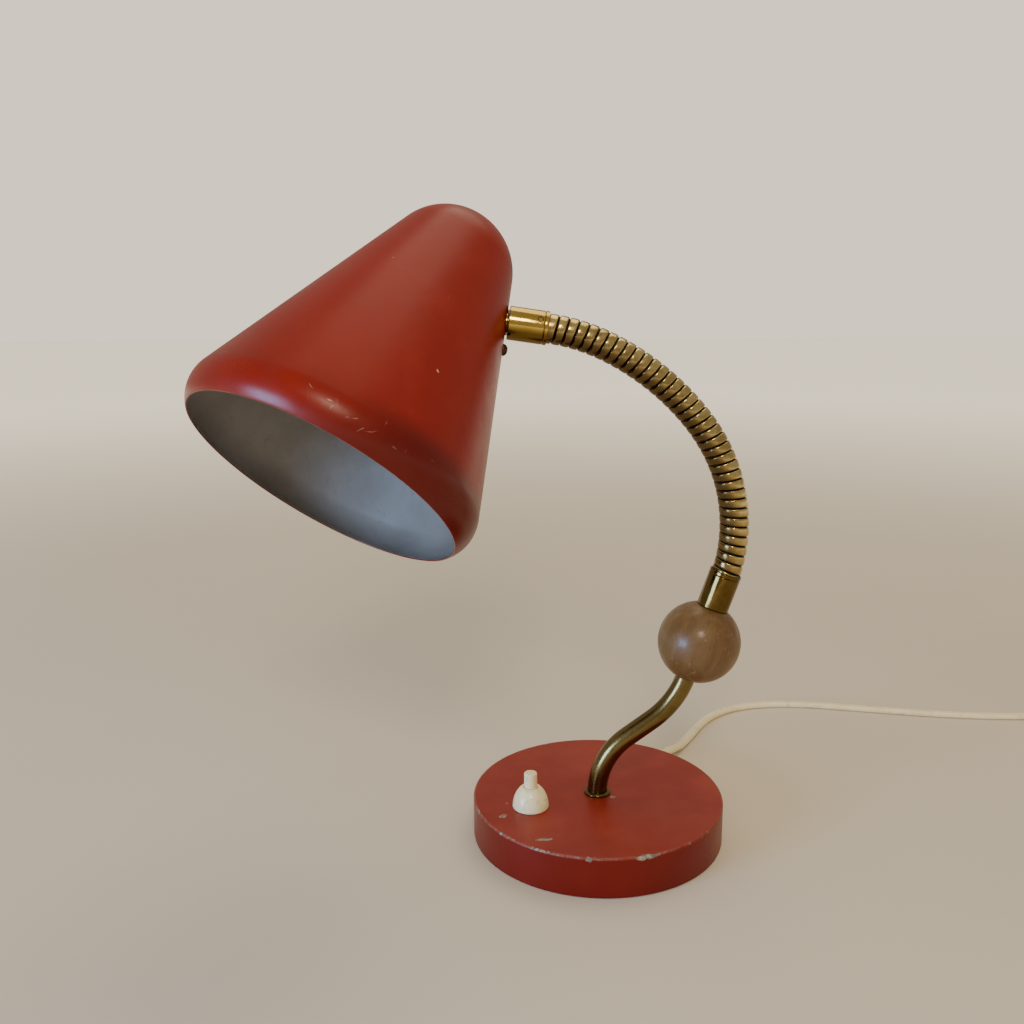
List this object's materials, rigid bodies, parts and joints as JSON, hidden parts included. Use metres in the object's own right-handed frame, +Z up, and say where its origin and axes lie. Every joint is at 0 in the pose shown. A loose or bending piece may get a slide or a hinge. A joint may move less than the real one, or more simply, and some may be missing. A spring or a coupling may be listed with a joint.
{
  "type": "gooseneck desk lamp",
  "caption": "Small desk lamp with a weighted round base, push switch, bent stem with a wooden ball, flexible brass gooseneck and a conical metal shade on a turning ferrule.",
  "frame": {"origin": "centre of the underside of the base, where the felt rests on the table", "axes": "+Z up; the stem and the neck bend in the XZ plane, with the stem leaning to +X and the shade hanging over -X; the cord leaves the base at the back, +Y"},
  "size_m": [0.6137, 0.2918, 0.3445],
  "materials": {
    "red_lacquer": "worn satin lacquer",
    "aged_brass": "dark aged brass",
    "polished_brass": "polished brass",
    "ivory_plastic": "aged ivory",
    "dark_wood": "satin varnish",
    "zinc_steel": "zinc plated",
    "cast_iron": "raw casting",
    "green_felt": "felt",
    "bakelite": "black moulded",
    "opal_glass": "opal",
    "cap_metal": "satin",
    "cord_pvc": "aged cream",
    "lead_cover": "matte",
    "tie_plastic": "matte",
    "button_plastic": "aged ivory, darker",
    "dark_bronze": "blackened"
  },
  "bodies": {
    "lamp_base": {"base_shell": "red_lacquer", "base_weight": "cast_iron", "base_plate": "zinc_steel", "felt_pad": "green_felt", "base_screws": "zinc_steel", "switch_dome": "ivory_plastic", "switch_body": "bakelite", "switch_spring": "zinc_steel", "switch_terminals": "polished_brass", "stem_collar": "aged_brass", "stem_tube": "aged_brass", "stem_washer": "zinc_steel", "stem_nut": "zinc_steel", "stem_lead": "lead_cover", "cord_gland": "ivory_plastic", "cord_inside": "cord_pvc", "cord_clamp": "zinc_steel", "connector_block": "ivory_plastic", "connector_screws": "polished_brass", "switch_leads": "lead_cover", "wood_ball": "dark_wood", "ball_nipple": "polished_brass", "lower_ferrule": "polished_brass", "neck_link_00": "polished_brass", "mains_cord": "cord_pvc", "cord_coil": "cord_pvc", "cord_tie": "tie_plastic", "cord_tail": "cord_pvc", "plug_body": "ivory_plastic", "plug_pins": "polished_brass"},
    "neck_01": {"neck_link_01": "polished_brass"},
    "neck_02": {"neck_link_02": "polished_brass"},
    "neck_03": {"neck_link_03": "polished_brass"},
    "neck_04": {"neck_link_04": "polished_brass"},
    "neck_05": {"neck_link_05": "polished_brass"},
    "neck_06": {"neck_link_06": "polished_brass"},
    "neck_07": {"neck_link_07": "polished_brass"},
    "neck_08": {"neck_link_08": "polished_brass"},
    "neck_09": {"neck_link_09": "polished_brass"},
    "neck_10": {"neck_link_10": "polished_brass"},
    "neck_11": {"neck_link_11": "polished_brass"},
    "head": {"neck_link_12": "polished_brass", "upper_ferrule": "polished_brass", "ferrule_screw": "dark_bronze"},
    "shade_unit": {"shade_nipple": "polished_brass", "shade_washer": "dark_bronze", "shade": "red_lacquer", "shade_nut": "zinc_steel", "holder_bracket": "zinc_steel", "shade_screw": "dark_bronze", "shade_screw_nut": "zinc_steel", "holder_nipple": "polished_brass", "holder_nut": "zinc_steel", "holder_cap": "bakelite", "holder_shell": "bakelite", "holder_sleeve": "polished_brass", "holder_lead": "lead_cover", "bulb_glass": "opal_glass", "bulb_cap": "cap_metal"},
    "button": {"switch_button": "button_plastic"}
  },
  "joints": [
    {"name": "arm_side", "type": "hinge", "parent": "lamp_base", "child": "neck_01", "pos_m": [0.06994, 0, 0.15732], "axis": [0.9763, 0, -0.2164], "range_deg": [-7.5, 7.5]},
    {"name": "arm_curl", "type": "hinge", "parent": "neck_01", "child": "neck_02", "pos_m": [0.07166, 0, 0.17242], "axis": [0, -1, 0], "range_deg": [-11, 6]},
    {"name": "arm_side_2", "type": "hinge", "parent": "neck_02", "child": "neck_03", "pos_m": [0.07087, 0, 0.1876], "axis": [0.9909, 0, 0.1349], "range_deg": [-7.5, 7.5]},
    {"name": "arm_curl_2", "type": "hinge", "parent": "neck_03", "child": "neck_04", "pos_m": [0.06758, 0, 0.20244], "axis": [0, -1, 0], "range_deg": [-11, 6]},
    {"name": "arm_side_3", "type": "hinge", "parent": "neck_04", "child": "neck_05", "pos_m": [0.06188, 0, 0.21653], "axis": [0.893, 0, 0.4501], "range_deg": [-7.5, 7.5]},
    {"name": "arm_curl_3", "type": "hinge", "parent": "neck_05", "child": "neck_06", "pos_m": [0.05394, 0, 0.22949], "axis": [0, -1, 0], "range_deg": [-11, 6]},
    {"name": "arm_side_4", "type": "hinge", "parent": "neck_06", "child": "neck_07", "pos_m": [0.04427, 0, 0.24122], "axis": [0.7343, 0, 0.6788], "range_deg": [-7.5, 7.5]},
    {"name": "arm_curl_4", "type": "hinge", "parent": "neck_07", "child": "neck_08", "pos_m": [0.03334, 0, 0.25178], "axis": [0, -1, 0], "range_deg": [-11, 6]},
    {"name": "arm_side_5", "type": "hinge", "parent": "neck_08", "child": "neck_09", "pos_m": [0.02136, 0, 0.26114], "axis": [0.5736, 0, 0.8192], "range_deg": [-7.5, 7.5]},
    {"name": "arm_curl_5", "type": "hinge", "parent": "neck_09", "child": "neck_10", "pos_m": [0.00847, 0, 0.26919], "axis": [0, -1, 0], "range_deg": [-11, 6]},
    {"name": "arm_side_6", "type": "hinge", "parent": "neck_10", "child": "neck_11", "pos_m": [-0.00525, 0, 0.27574], "axis": [0.3665, 0, 0.9304], "range_deg": [-7.5, 7.5]},
    {"name": "arm_curl_6", "type": "hinge", "parent": "neck_11", "child": "head", "pos_m": [-0.01974, 0, 0.28031], "axis": [0, -1, 0], "range_deg": [-11, 6]},
    {"name": "shade_turn", "type": "hinge", "parent": "head", "child": "shade_unit", "pos_m": [-0.04961, 0, 0.28477], "axis": [-0.989, 0, 0.1478], "range_deg": [-100, 60]},
    {"name": "button_press", "type": "slide", "parent": "lamp_base", "child": "button", "axis": [0, 0, -1], "range_m": [0, 0.003], "stiffness_N_per_m": 600, "springref_m": -0.002, "deforming": ["switch_spring"]}
  ]
}
